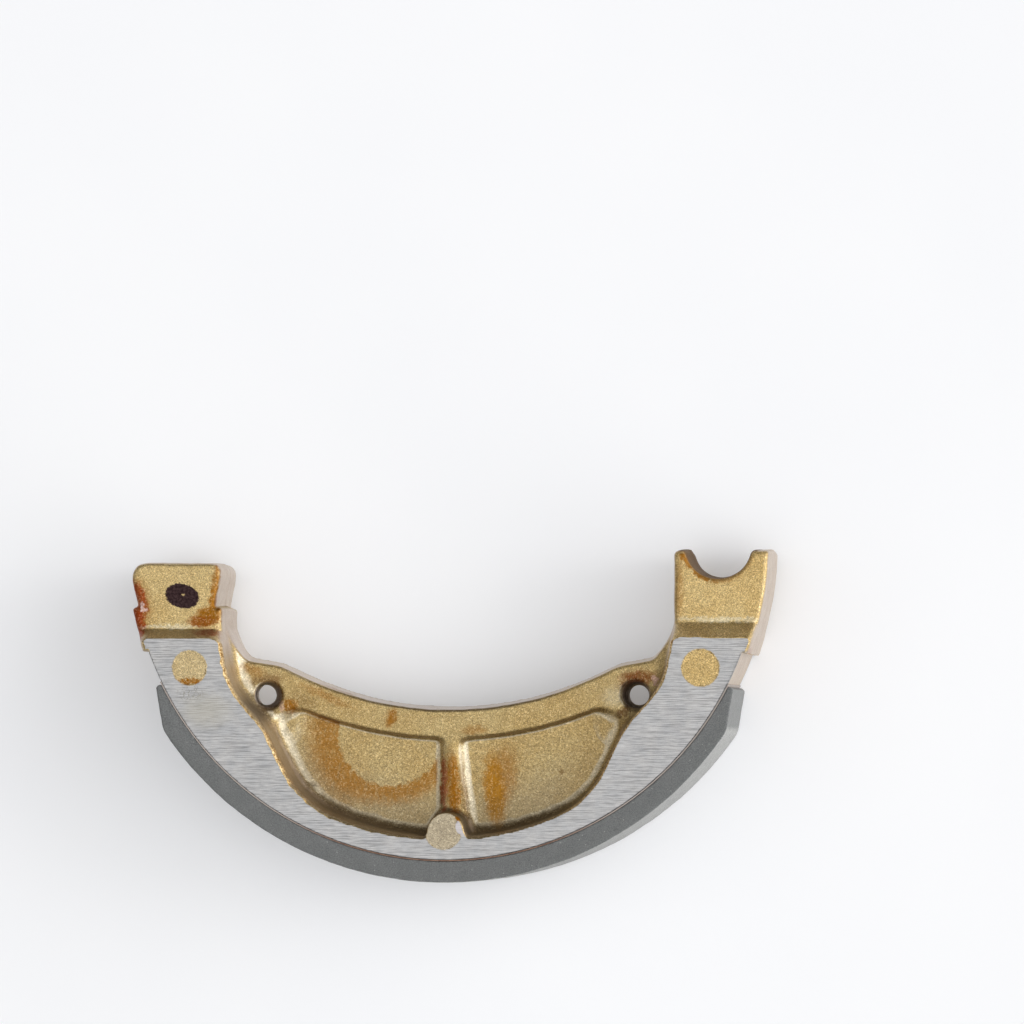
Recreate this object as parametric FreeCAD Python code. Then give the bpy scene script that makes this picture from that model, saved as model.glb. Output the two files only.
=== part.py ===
import FreeCAD, Part
import math
import os

# Drum brake shoe: one die casting, its bonded friction lining and the bond line between them.
# Units are millimetres. The shoe lies on one side face. The origin is the drum axis where it
# meets the plane of that lower side face: +Z runs along the drum axis, +X points to the anchor
# end (the heel), -X to the cam end (the toe), and the arc opens towards +Y.

os.makedirs("parts", exist_ok=True)

# Rim, lining and bond line
SHOE_WIDTH = 20.0
LINING_RADIUS = 44.9
LINING_THICKNESS = 2.85
FILM_THICKNESS = 0.15
RIM_THICKNESS = 2.95
RIM_THIN_ANGLE = 21.0
RIM_COVER = 0.9

# Lining ends, as angles below the X axis, and the ground chamfer at each end
LINING_TOE_ANGLE = 26.4
LINING_HEEL_ANGLE = 26.9
LINING_TIP_HEIGHT = 0.8
LINING_CHAMFER_ANGLE = 7.0
FILM_OVERHANG_ANGLE = 0.35

# Thick end blocks of the rim: two corners of their inner wall and its slope beside the pockets.
# Here and below, an inset is measured along X inwards from the bond radius.
BLOCK_WALL_INSET = 13.15
BLOCK_WALL_Y = -19.0
BLOCK_FOOT_INSET = 17.9
BLOCK_FOOT_Y = -24.2
BLOCK_SLOPE = 2.0
BLOCK_TOP_Y = -11.0
BLOCK_TOP_BLEND = 9.0
BLOCK_WALL_BLEND = 12.0
BLOCK_FOOT_BLEND = 9.0
BLOCK_KNEE_BLEND = 13.0

# Both feet
FOOT_THICKNESS = 16.0
FOOT_PROUD = 0.8
FOOT_TOE_END_ANGLE = 19.8
FOOT_HEEL_END_ANGLE = 20.3
FOOT_BULGE = 0.25

# Toe foot with its rounded nose and flat cam face
TOE_TOP = -2.62
TOE_NOSE_INSET = 11.8
TOE_NOSE_WIDTH = 11.7
TOE_NOSE_LENGTH = 6.04
TOE_NECK = 0.85
TOE_NECK_CORNER = 0.45
TOE_WAIST_BLEND = 3.0
TOE_INNER_WAIST = 2.0
TOE_OUTER_WAIST = 2.4
TOE_INNER_INSET = 11.98
TOE_ROOT_CORNER = 0.4
TOE_OUTER_CORNER = 2.0
TOE_INNER_CORNER = 1.5
TOE_PAD_LENGTH = 8.88
TOE_STEP_RUN = 1.1

# Heel foot with its half-round anchor pin seat
HEEL_TOP = -1.2
HEEL_INNER_INSET = 11.65
HEEL_TOP_CORNER = 0.6
HEEL_PAD_LENGTH = 9.4
HEEL_STEP_RUN = 1.95
ANCHOR_RADIUS = 4.4
ANCHOR_INSET = 5.9
ANCHOR_RISE = 0.75

# Web
WEB_THICKNESS = 8.0
WEB_ARC_RADIUS = 46.4
WEB_SLOPE_ANGLE = 25.5
WEB_BORDER = 3.95
WEB_ROOT = 7.0

# Ear of the web round each spring hole, from the hole's centre
SPRING_INSET = 17.0
SPRING_Y = -20.1
EAR_INNER = 2.3
EAR_OUTER = 2.15
EAR_HEIGHT = 3.77
EAR_RISE = 0.75
EAR_NECK_BLEND = 2.6
EAR_BLEND = 5.0

# Spring holes: a short land at the middle plane, a wide leaning mouth above and a taper below
SPRING_RADIUS = 1.35
SPRING_LAND = 1.6
SPRING_MOUTH_RADIUS = 2.1
SPRING_MOUTH_SHIFT = 0.5
SPRING_TAPER_RADIUS = 1.75

# Pockets beside the rib, on both faces of the web
POCKET_DEPTH = 1.0
POCKET_END_INSET = 21.9
POCKET_END_REACH = 5.4
POCKET_END_SLOPE = 0.68
POCKET_END_CORNER = 2.0
POCKET_RIB_CORNER = 1.2
POCKET_ARC_STOP = 2.5
RIB_X = 0.5
RIB_WIDTH = 3.8

# Ejector marks on the upper side face, and the boss that carries the middle one
MARK_DEPTH = 0.12
MARK_ANGLE = 26.1
MARK_INSET = 4.2
MARK_TOE_RADIUS = 2.2
MARK_HEEL_RADIUS = 2.38
BOSS_X = 0.2
BOSS_RADIUS = 2.45
BOSS_INSET = 0.85
BOSS_MARK_MARGIN = 0.12
BOSS_MARK_SHIFT = 0.3

# Casting draft towards the middle plane, the raw edge of the side faces, and the blend of the
# rim's inner wall into the web, as pairs of height above the pocket's floor and width
BODY_DRAFT = 0.35
WEB_DRAFT = 0.6
POCKET_DRAFT = 0.42
RAW_EDGE = 0.3
BLEND = ((0.0, 1.9), (0.4, 1.25), (1.3, 0.75), (3.0, 0.35), (5.0, 0.1))

# How far cutting tools run past what they cut, how much steeper than needed the wedge over a
# foot's step is, how much of a side its corner arcs may take, and the smallest corner radius
CUT_MARGIN = 1.0
STEP_OVERRUN = 1.5
SIDE_SHARE = 0.98
LEAST_RADIUS = 0.03

# Radii, heights and places that follow from the sizes above
BOND_RADIUS = LINING_RADIUS - LINING_THICKNESS - FILM_THICKNESS
RIM_INNER_RADIUS = BOND_RADIUS - RIM_THICKNESS
FOOT_RADIUS = BOND_RADIUS + FOOT_PROUD
BLOCK_WALL_X = BOND_RADIUS - BLOCK_WALL_INSET
BLOCK_FOOT_X = BOND_RADIUS - BLOCK_FOOT_INSET
TOE_NOSE_RIGHT = TOE_NOSE_INSET - BOND_RADIUS
TOE_INNER = TOE_INNER_INSET - BOND_RADIUS
HEEL_INNER = BOND_RADIUS - HEEL_INNER_INSET
ANCHOR_X = BOND_RADIUS - ANCHOR_INSET
SPRING_X = BOND_RADIUS - SPRING_INSET
POCKET_END_X = BOND_RADIUS - POCKET_END_INSET
MID = SHOE_WIDTH / 2.0
WEB_TOP = MID + WEB_THICKNESS / 2.0
POCKET_FLOOR = WEB_TOP - POCKET_DEPTH
PAD_TOP = MID + FOOT_THICKNESS / 2.0
INNER_LIMIT = BOND_RADIUS - RIM_COVER
FAR = 1.5 * LINING_RADIUS


def vec(x, y, z=0.0):
    return FreeCAD.Vector(x, y, z)


def slope_of(degrees):
    return math.tan(math.radians(degrees))


def side_lines(corners):
    """Start, unit direction and length of each side of a polygon."""
    lines = []
    for i, corner in enumerate(corners):
        end = corners[(i + 1) % len(corners)]
        length = math.hypot(end[0] - corner[0], end[1] - corner[1])
        direction = ((end[0] - corner[0]) / length, (end[1] - corner[1]) / length)
        lines.append((corner[0], corner[1], direction[0], direction[1], length))
    return lines


def grown(corners, grow):
    """Moves every side of a counter-clockwise outline outwards by grow and adjusts its radii."""
    lines = side_lines(corners)
    result = []
    for i, corner in enumerate(corners):
        px, py, pdx, pdy = lines[i - 1][:4]
        nx, ny, ndx, ndy = lines[i][:4]
        px, py = px + pdy * grow, py - pdx * grow
        nx, ny = nx + ndy * grow, ny - ndx * grow
        cross = pdx * ndy - pdy * ndx
        along = ((nx - px) * ndy - (ny - py) * ndx) / cross
        radius = corner[2]
        if radius > 0:
            radius = max(LEAST_RADIUS, radius + (grow if cross > 0 else -grow))
        result.append((px + along * pdx, py + along * pdy, radius))
    return result


def corner_turns(corners):
    """Signed turn at each corner, and the radius that its two sides leave room for."""
    lines = side_lines(corners)
    turns = []
    reaches = []
    for i, corner in enumerate(corners):
        pdx, pdy = lines[i - 1][2:4]
        ndx, ndy = lines[i][2:4]
        turn = math.atan2(pdx * ndy - pdy * ndx, pdx * ndx + pdy * ndy)
        turns.append(turn)
        reaches.append(corner[2] * math.tan(abs(turn) / 2))
    shares = [1.0] * len(corners)
    for i, line in enumerate(lines):
        j = (i + 1) % len(corners)
        wanted = reaches[i] + reaches[j]
        if wanted > SIDE_SHARE * line[4]:
            shares[i] = min(shares[i], SIDE_SHARE * line[4] / wanted)
            shares[j] = min(shares[j], SIDE_SHARE * line[4] / wanted)
    return [(turn, corner[2] * share) for turn, corner, share in zip(turns, corners, shares)]


def rounded_wire(corners, z, grow=0.0):
    """Closed wire of straight sides and tangent corner arcs."""
    corners = grown(corners, grow)
    lines = side_lines(corners)
    stops = []
    for i, (turn, radius) in enumerate(corner_turns(corners)):
        x, y = corners[i][:2]
        if radius <= 0:
            stops.append((vec(x, y, z), None, vec(x, y, z)))
            continue
        pdx, pdy = lines[i - 1][2:4]
        ndx, ndy = lines[i][2:4]
        reach = radius * math.tan(abs(turn) / 2)
        offset = math.copysign(radius, turn)
        start = vec(x - pdx * reach, y - pdy * reach, z)
        centre = vec(start.x - pdy * offset, start.y + pdx * offset, z)
        to_corner = vec(x, y, z) - centre
        middle = centre + to_corner * (radius / to_corner.Length)
        stops.append((start, middle, vec(x + ndx * reach, y + ndy * reach, z)))
    edges = []
    for i, (start, middle, end) in enumerate(stops):
        if middle is not None:
            edges.append(Part.Arc(start, middle, end).toShape())
        edges.append(Part.LineSegment(end, stops[(i + 1) % len(stops)][0]).toShape())
    return Part.Wire(edges)


def stack(corners, levels):
    """Solid through the same outline at several heights, each grown by its own amount."""
    return Part.makeLoft([rounded_wire(corners, z, grow) for z, grow in levels], True, True)


def both_halves(shape):
    """Joins a solid above the middle plane to its mirror image below it."""
    return shape.fuse(shape.mirror(vec(0, 0, MID), vec(0, 0, 1)))


def cylinder(radius, x, y, low, high):
    return Part.makeCylinder(radius, high - low, vec(x, y, low), vec(0, 0, 1))


def prism(points, run):
    """Flat polygon pushed along one direction."""
    return Part.Face(Part.makePolygon(points + points[:1])).extrude(run)


def block_wall(side, foot_x):
    """Inner wall of one thick end block, from the foot down to the thin middle of the rim."""
    tangent = slope_of(RIM_THIN_ANGLE)
    bottom = rim_bottom_y()
    knee_x = (bottom - BLOCK_FOOT_Y + BLOCK_SLOPE * BLOCK_FOOT_X) / (BLOCK_SLOPE - tangent)
    return [
        (side * foot_x, BLOCK_TOP_Y, BLOCK_TOP_BLEND),
        (side * BLOCK_WALL_X, BLOCK_WALL_Y, BLOCK_WALL_BLEND),
        (side * BLOCK_FOOT_X, BLOCK_FOOT_Y, BLOCK_FOOT_BLEND),
        (side * knee_x, bottom + tangent * knee_x, BLOCK_KNEE_BLEND),
    ]


def rim_bottom_y():
    """Where the tangents at both ends of the rim's thin middle meet."""
    return -RIM_INNER_RADIUS / math.cos(math.radians(RIM_THIN_ANGLE))


def body_corners():
    """Rim, end blocks and both feet; the outside is trimmed to its radius later."""
    nose_left = TOE_NOSE_RIGHT - TOE_NOSE_WIDTH
    shoulder = TOE_TOP - TOE_NOSE_LENGTH
    toe_wall = block_wall(-1, -TOE_INNER)
    toe_wall.reverse()
    return [
        (-FAR, shoulder, 0),
        (-FAR, -FAR, 0),
        (FAR, -FAR, 0),
        (FAR, HEEL_TOP, 0),
        (HEEL_INNER, HEEL_TOP, HEEL_TOP_CORNER),
    ] + block_wall(1, HEEL_INNER) + [
        (0.0, rim_bottom_y(), RIM_INNER_RADIUS),
    ] + toe_wall + [
        (TOE_INNER, shoulder, TOE_ROOT_CORNER),
        (TOE_NOSE_RIGHT - TOE_NECK, shoulder, TOE_NECK_CORNER),
        (TOE_NOSE_RIGHT, TOE_TOP - TOE_INNER_WAIST, TOE_WAIST_BLEND),
        (TOE_NOSE_RIGHT, TOE_TOP, TOE_INNER_CORNER),
        (nose_left, TOE_TOP, TOE_OUTER_CORNER),
        (nose_left, TOE_TOP - TOE_OUTER_WAIST, TOE_WAIST_BLEND),
        (nose_left + TOE_NECK, shoulder, TOE_NECK_CORNER),
    ]


def ear_point():
    """Corner where the web's arc meets the ear of a spring hole."""
    return SPRING_X - EAR_INNER, SPRING_Y + EAR_HEIGHT


def web_arc_corner_y():
    ear_x, ear_y = ear_point()
    return ear_y - slope_of(WEB_SLOPE_ANGLE) * ear_x


def web_centre_y():
    return web_arc_corner_y() + WEB_ARC_RADIUS / math.cos(math.radians(WEB_SLOPE_ANGLE))


def web_corners():
    """Web plate: a shallow arc towards the hub, with an ear round each spring hole."""
    ear_x, ear_y = ear_point()
    neck_x, neck_y = SPRING_X + EAR_OUTER, ear_y + EAR_RISE
    root_x, root_y = neck_x + WEB_ROOT, neck_y + WEB_ROOT
    return [
        (root_x, root_y, 0),
        (neck_x, neck_y, EAR_NECK_BLEND),
        (ear_x, ear_y, EAR_BLEND),
        (0.0, web_arc_corner_y(), WEB_ARC_RADIUS),
        (-ear_x, ear_y, EAR_BLEND),
        (-neck_x, neck_y, EAR_NECK_BLEND),
        (-root_x, root_y, 0),
        (-root_x, -FAR, 0),
        (root_x, -FAR, 0),
    ]


def pocket_corners(side):
    """One shallow pocket, between the rib, the web's border and the rim."""
    radius = WEB_ARC_RADIUS + WEB_BORDER
    centre_y = web_centre_y()
    near = RIB_WIDTH
    far = POCKET_END_X - POCKET_ARC_STOP
    near_y = centre_y - math.sqrt(radius ** 2 - near ** 2)
    far_y = centre_y - math.sqrt(radius ** 2 - far ** 2)
    near_slope = near / (centre_y - near_y)
    far_slope = far / (centre_y - far_y)
    meet_x = (far_y - far_slope * far - near_y + near_slope * near) / (near_slope - far_slope)
    rib_edge = RIB_WIDTH / 2.0 + side * RIB_X
    end_y = far_y + far_slope * (POCKET_END_X - far)
    corner_x = POCKET_END_X + POCKET_END_REACH
    points = [
        (rib_edge, near_y + near_slope * (rib_edge - near), POCKET_RIB_CORNER),
        (meet_x, near_y + near_slope * (meet_x - near), radius),
        (POCKET_END_X, end_y, POCKET_END_CORNER),
        (corner_x, end_y - POCKET_END_SLOPE * POCKET_END_REACH, 0),
        (corner_x, -FAR, 0),
        (rib_edge, -FAR, 0),
    ]
    corners = [(side * x, y, radius) for x, y, radius in points]
    if side > 0:
        corners.reverse()
    return corners


def body_block():
    """Rim and feet at full width, with draft to the middle plane and a raw edge to each side."""
    levels = [(MID, BODY_DRAFT), (SHOE_WIDTH - RAW_EDGE, 0.0), (SHOE_WIDTH, -RAW_EDGE)]
    outside = Part.makeCone(FOOT_RADIUS + FOOT_BULGE, FOOT_RADIUS, MID, vec(0, 0, MID), vec(0, 0, 1))
    return both_halves(stack(body_corners(), levels).common(outside))


def bond_seat_cut():
    """Trims the rim to the bond radius between the two feet."""
    sweep = 180.0 - FOOT_TOE_END_ANGLE - FOOT_HEEL_END_ANGLE
    height = SHOE_WIDTH + 2 * CUT_MARGIN
    ring = Part.makeCylinder(FAR, height, vec(0, 0, -CUT_MARGIN), vec(0, 0, 1), sweep)
    ring.rotate(vec(0, 0, 0), vec(0, 0, 1), 180.0 + FOOT_TOE_END_ANGLE)
    return ring.cut(cylinder(BOND_RADIUS, 0, 0, -2 * CUT_MARGIN, SHOE_WIDTH + 2 * CUT_MARGIN))


def foot_recess(pad_end, step_run, low_x, high_x):
    """Sets a foot's side faces back behind a sloped step."""
    rise = SHOE_WIDTH - PAD_TOP
    section = [
        vec(low_x, FAR, PAD_TOP),
        vec(low_x, pad_end, PAD_TOP),
        vec(low_x, pad_end - STEP_OVERRUN * step_run, PAD_TOP + STEP_OVERRUN * rise),
        vec(low_x, FAR, PAD_TOP + STEP_OVERRUN * rise),
    ]
    return both_halves(prism(section, vec(high_x - low_x, 0, 0)))


def cam_face_cut():
    """Grinds the end of the toe foot flat, square to the side faces."""
    height = SHOE_WIDTH + 2 * CUT_MARGIN
    return Part.makeBox(FAR, FAR, height, vec(-FAR, TOE_TOP, -CUT_MARGIN))


def web_plate():
    half = stack(web_corners(), [(MID, WEB_DRAFT), (WEB_TOP, 0.0)])
    half = half.common(cylinder(INNER_LIMIT, 0, 0, 0, SHOE_WIDTH))
    for side in (-1, 1):
        levels = [(POCKET_FLOOR, 0.0), (POCKET_FLOOR + 2 * POCKET_DEPTH, 2 * POCKET_DRAFT)]
        half = half.cut(stack(pocket_corners(side), levels))
    return both_halves(half)


def rim_blend():
    """Flared foot of the rim's inner wall where it runs into the web."""
    flare = stack(body_corners(), [(POCKET_FLOOR + rise, width) for rise, width in BLEND])
    limit = stack(web_corners(), [(POCKET_FLOOR, 0.0), (POCKET_FLOOR + BLEND[-1][0], 0.0)])
    limit = limit.common(cylinder(INNER_LIMIT, 0, 0, 0, SHOE_WIDTH))
    return both_halves(flare.common(limit))


def ejector_boss():
    """Half-round boss on the rim's inner wall under the middle ejector mark."""
    boss = cylinder(BOSS_RADIUS, BOSS_X, BOSS_INSET - RIM_INNER_RADIUS, MID, SHOE_WIDTH)
    return boss.common(cylinder(INNER_LIMIT, 0, 0, 0, SHOE_WIDTH))


def circle_wire(radius, x, y, z):
    return Part.Wire(Part.makeCircle(radius, vec(x, y, z)))


def spring_hole(side):
    x = side * SPRING_X
    mouth_x = x - side * SPRING_MOUTH_SHIFT
    land_top = MID + SPRING_LAND / 2.0
    land_low = MID - SPRING_LAND / 2.0
    low_face = MID - WEB_THICKNESS / 2.0
    land = circle_wire(SPRING_RADIUS, x, SPRING_Y, land_top)
    mouth = circle_wire(SPRING_MOUTH_RADIUS, mouth_x, SPRING_Y, WEB_TOP)
    taper_run = land_low - low_face
    taper = Part.makeCone(SPRING_TAPER_RADIUS, SPRING_RADIUS, taper_run, vec(x, SPRING_Y, low_face))
    return [
        cylinder(SPRING_RADIUS, x, SPRING_Y, low_face, WEB_TOP),
        Part.makeLoft([land, mouth], True, True),
        cylinder(SPRING_MOUTH_RADIUS, mouth_x, SPRING_Y, WEB_TOP, SHOE_WIDTH + CUT_MARGIN),
        taper,
        cylinder(SPRING_TAPER_RADIUS, x, SPRING_Y, -CUT_MARGIN, low_face),
    ]


def ejector_marks():
    """Shallow round marks that stay below the machined side face."""
    low, high = SHOE_WIDTH - MARK_DEPTH, SHOE_WIDTH + CUT_MARGIN
    reach = BOND_RADIUS - MARK_INSET
    x = reach * math.cos(math.radians(MARK_ANGLE))
    y = -reach * math.sin(math.radians(MARK_ANGLE))
    boss_y = BOSS_INSET - RIM_INNER_RADIUS
    return [
        cylinder(MARK_TOE_RADIUS, -x, y, low, high),
        cylinder(MARK_HEEL_RADIUS, x, y, low, high),
        cylinder(BOSS_RADIUS - BOSS_MARK_MARGIN, BOSS_X - BOSS_MARK_SHIFT, boss_y, low, high),
    ]


def shoe_casting():
    shoe = body_block().cut([bond_seat_cut(), cam_face_cut()])
    shoe = shoe.cut(foot_recess(TOE_TOP - TOE_PAD_LENGTH, TOE_STEP_RUN, -FAR, 0))
    shoe = shoe.cut(foot_recess(HEEL_TOP - HEEL_PAD_LENGTH, HEEL_STEP_RUN, 0, FAR))
    shoe = shoe.fuse([web_plate(), rim_blend(), ejector_boss()])
    anchor_y = HEEL_TOP + ANCHOR_RISE
    high = SHOE_WIDTH + CUT_MARGIN
    cutters = [cylinder(ANCHOR_RADIUS, ANCHOR_X, anchor_y, -CUT_MARGIN, high)]
    cutters += spring_hole(-1) + spring_hole(1) + ejector_marks()
    return shoe.cut(cutters).removeSplitter()


def on_circle(radius, degrees):
    angle = math.radians(degrees)
    return vec(radius * math.cos(angle), radius * math.sin(angle))


def ring_sector(inner, outer, toe_angle, heel_angle):
    """Plain ring sector under the drum axis, its ends on radial lines."""
    low, high = 180.0 + toe_angle, 360.0 - heel_angle
    edges = [
        Part.Arc(on_circle(outer, low), on_circle(outer, 270), on_circle(outer, high)).toShape(),
        Part.LineSegment(on_circle(outer, high), on_circle(inner, high)).toShape(),
        Part.Arc(on_circle(inner, high), on_circle(inner, 270), on_circle(inner, low)).toShape(),
        Part.LineSegment(on_circle(inner, low), on_circle(outer, low)).toShape(),
    ]
    return Part.Face(Part.Wire(edges)).extrude(vec(0, 0, SHOE_WIDTH))


def end_chamfer(side, angle):
    """Wedge outside the flat that is ground on one end of the lining."""
    tip = on_circle(BOND_RADIUS + FILM_THICKNESS + LINING_TIP_HEIGHT, -angle)
    back = on_circle(LINING_RADIUS, -angle - LINING_CHAMFER_ANGLE)
    run = back - tip
    outwards = vec(LINING_RADIUS, 0)
    points = [tip - run, back + run, back + run + outwards, tip - run + outwards]
    points = [vec(side * point.x, point.y, -CUT_MARGIN) for point in points]
    return prism(points, vec(0, 0, SHOE_WIDTH + 2 * CUT_MARGIN))


def friction_lining():
    inner = BOND_RADIUS + FILM_THICKNESS
    lining = ring_sector(inner, LINING_RADIUS, LINING_TOE_ANGLE, LINING_HEEL_ANGLE)
    chamfers = [end_chamfer(-1, LINING_TOE_ANGLE), end_chamfer(1, LINING_HEEL_ANGLE)]
    return lining.cut(chamfers)


def adhesive_film():
    """Bond line, squeezed out a little past both ends of the lining."""
    toe_angle = LINING_TOE_ANGLE - FILM_OVERHANG_ANGLE
    heel_angle = LINING_HEEL_ANGLE - FILM_OVERHANG_ANGLE
    return ring_sector(BOND_RADIUS, BOND_RADIUS + FILM_THICKNESS, toe_angle, heel_angle)


def main():
    nodes = {
        "shoe_casting": shoe_casting(),
        "friction_lining": friction_lining(),
        "adhesive_film": adhesive_film(),
    }
    for name, shape in nodes.items():
        state = "valid" if shape.isValid() else "not valid"
        print(name, len(shape.Solids), "solid,", state, round(shape.Volume, 1), "mm3")
        shape.exportStep("parts/" + name + ".step")


main()
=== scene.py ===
import math
import bpy
import numpy as np
from mathutils import Matrix, Vector


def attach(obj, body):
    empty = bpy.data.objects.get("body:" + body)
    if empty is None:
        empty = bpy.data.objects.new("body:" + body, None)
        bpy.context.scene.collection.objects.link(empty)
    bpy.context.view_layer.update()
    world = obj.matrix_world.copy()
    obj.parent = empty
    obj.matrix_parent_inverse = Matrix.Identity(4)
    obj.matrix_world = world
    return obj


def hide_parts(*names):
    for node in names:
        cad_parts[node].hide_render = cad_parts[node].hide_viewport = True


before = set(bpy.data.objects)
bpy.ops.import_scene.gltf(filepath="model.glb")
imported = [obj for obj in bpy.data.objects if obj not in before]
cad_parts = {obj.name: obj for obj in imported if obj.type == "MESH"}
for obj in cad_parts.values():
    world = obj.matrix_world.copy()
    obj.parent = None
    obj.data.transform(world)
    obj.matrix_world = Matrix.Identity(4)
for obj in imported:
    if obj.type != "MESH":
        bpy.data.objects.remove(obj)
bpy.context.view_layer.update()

# The casting and the lining are skinned from distance fields, so that the cast blends, the raw
# edges and the machined faces are real shapes. Sizes here are millimetres in the CAD frame.
METRE = 0.001
SCENE_SEED = 7

# Heights: the parting plane, the upper side face, and rises from the parting plane either way.
MID = 10.0
TOP = 20.0
FOOT_RISE = 8.0
WEB_RISE = 4.0
POCKET_RISE = 3.0
BRIM_RISE = 10.3
BOSS_RISE = 10.1

# Rim and lining: radii about the drum axis, the film between them, how far the web stays inside
# the bonded face, and the angles in degrees where the arcs end and the lining is bevelled.
BOND_RADIUS = 41.9
FOOT_RADIUS = 42.7
LINING_RADIUS = 44.9
FILM = 0.15
BOND_COVER = 0.9
BOND_TOE_END = 199.8
BOND_HEEL_END = -20.3
LINING_ENDS = ((-1, 26.4), (1, 26.9))
LINING_TIP = 0.8
LINING_BEVEL = 7

# Draft, largest at the parting plane, and the fine flash line that stands out there.
WALL_DRAFT = 0.35
RADIAL_DRAFT = 0.25
WEB_DRAFT = 0.45
SEAT_DRAFT = 0.45
FLASH = 0.07
WEB_FLASH = 0.05
FLASH_WIDTH = 0.16

# The slopes from the side face down to the feet: where they end along Y, and how far they run.
# Then where the cam face lies along Y, and the anchor pin seat as centre and radius.
TOE_STEP = (-11.5, 1.1)
HEEL_STEP = (-10.6, 1.95)
TOE_FACE = -2.62
ANCHOR_SEAT = (36, -0.45, 4.48)

# The brim of the side face changes from this distance from the middle, over this length.
BRIM_FROM = 5
BRIM_OVER = 15

# The sides of the rib between the pockets, how much the pockets widen for each millimetre of
# height, and their outer corner as x, y and reach.
RIB_LEFT = -0.4
RIB_RIGHT = 1.3
POCKET_DRAFT = 0.25
POCKET_CORNER = (22.6, -23.6, 2.6)

# Spring holes. Lean, flare and taper are given for the toe and for the heel.
SPRING_X = 24.9
SPRING_Y = -20.1
SPRING_RADIUS = 1.35
MOUTH_LEVEL = 10.8
LOWER_LEVEL = 9.2
MOUTH_DEPTH = 3.2
MOUTH_LEAN = (1.0, 0.15)
MOUTH_FLARE = (0.3, 0.5)
LOWER_TAPER = (0.06, 0.125)

# The middle boss and the ejector marks, each as centre and radius. The mark on the boss is worn
# away in an ellipse at its side, given as centre and half axes.
MARK_DEPTH = 0.035
BOSS = (0.2, -38.1, 2.45)
BOSS_MARK = (-0.1, -38.1, 2.33)
BOSS_WORN = (2.35, -37.45, 0.85, 1.2)
MARKS = ((-33.86, -16.59, 2.2), (33.86, -16.59, 2.38), BOSS_MARK)

# The unevenness of the cast skin: depth and size of its lumps.
CAST_LUMPS = ((0.045, 2.6), (0.03, 0.9))

# The skins: faces count as flat below this height, and shading stays clear of the machined edge.
FLAT_HEIGHT = 0.004
SHADE_MARGIN = 0.06
CASTING_TRIANGLES = 190000
LINING_TRIANGLES = 60000


def smooth_min(a, b, k):
    h = np.maximum(k - np.abs(a - b), 0.0) / k
    return np.minimum(a, b) - h * h * k / 4.0


def smooth_max(a, b, k):
    return -smooth_min(-a, -b, k)


def rounded_outline(points):
    """Closed polyline through corners given as x, y and corner radius."""
    loop = []
    for i, (x, y, radius) in enumerate(points):
        if radius <= 0:
            loop.append((x, y))
            continue
        before = Vector((x - points[i - 1][0], y - points[i - 1][1])).normalized()
        following = points[(i + 1) % len(points)]
        after = Vector((following[0] - x, following[1] - y)).normalized()
        turn = math.atan2(before.x * after.y - before.y * after.x, before.dot(after))
        reach = radius * math.tan(abs(turn) / 2)
        start = Vector((x, y)) - before * reach
        side = Vector((-before.y, before.x)) * math.copysign(radius, turn)
        centre = start + side
        steps = max(2, math.ceil(max(abs(turn) * radius / 0.5, abs(turn) / 0.12)))
        for step in range(steps + 1):
            angle = turn * step / steps
            spoke = Matrix.Rotation(angle, 2) @ (start - centre)
            loop.append((centre.x + spoke.x, centre.y + spoke.y))
    return np.array(loop)


def outline_distance(loop, x, y):
    """Signed distance to a closed outline, below zero inside."""
    nearest = np.full(x.shape, 1e9)
    inside = np.zeros(x.shape, bool)
    for (ax, ay), (bx, by) in zip(loop, np.roll(loop, -1, axis=0)):
        dx, dy = bx - ax, by - ay
        length = dx * dx + dy * dy
        if length < 1e-12:
            continue
        t = np.clip(((x - ax) * dx + (y - ay) * dy) / length, 0.0, 1.0)
        nearest = np.minimum(nearest, (x - ax - t * dx) ** 2 + (y - ay - t * dy) ** 2)
        if ay != by:
            crosses = (ay <= y) != (by <= y)
            inside ^= crosses & (x < ax + (y - ay) * dx / dy)
    distance = np.sqrt(nearest)
    return np.where(inside, -distance, distance)


def lumps(x, y, z, cell, seed):
    """Smooth seeded unevenness between -1 and 1, with bumps about one cell wide."""
    table = np.random.default_rng(seed).uniform(-1, 1, (128, 128, 64))
    low = []
    part = []
    for coords, size in zip((x, y, z), table.shape):
        place = coords / cell
        whole = np.floor(place)
        t = place - whole
        low.append((whole.astype(int) % size, (whole.astype(int) + 1) % size))
        part.append((1 - t * t * (3 - 2 * t), t * t * (3 - 2 * t)))
    total = 0.0
    for i in (0, 1):
        for j in (0, 1):
            for k in (0, 1):
                corner = table[low[0][i], low[1][j], low[2][k]]
                total = total + corner * (part[0][i] * part[1][j] * part[2][k])
    return total


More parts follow.
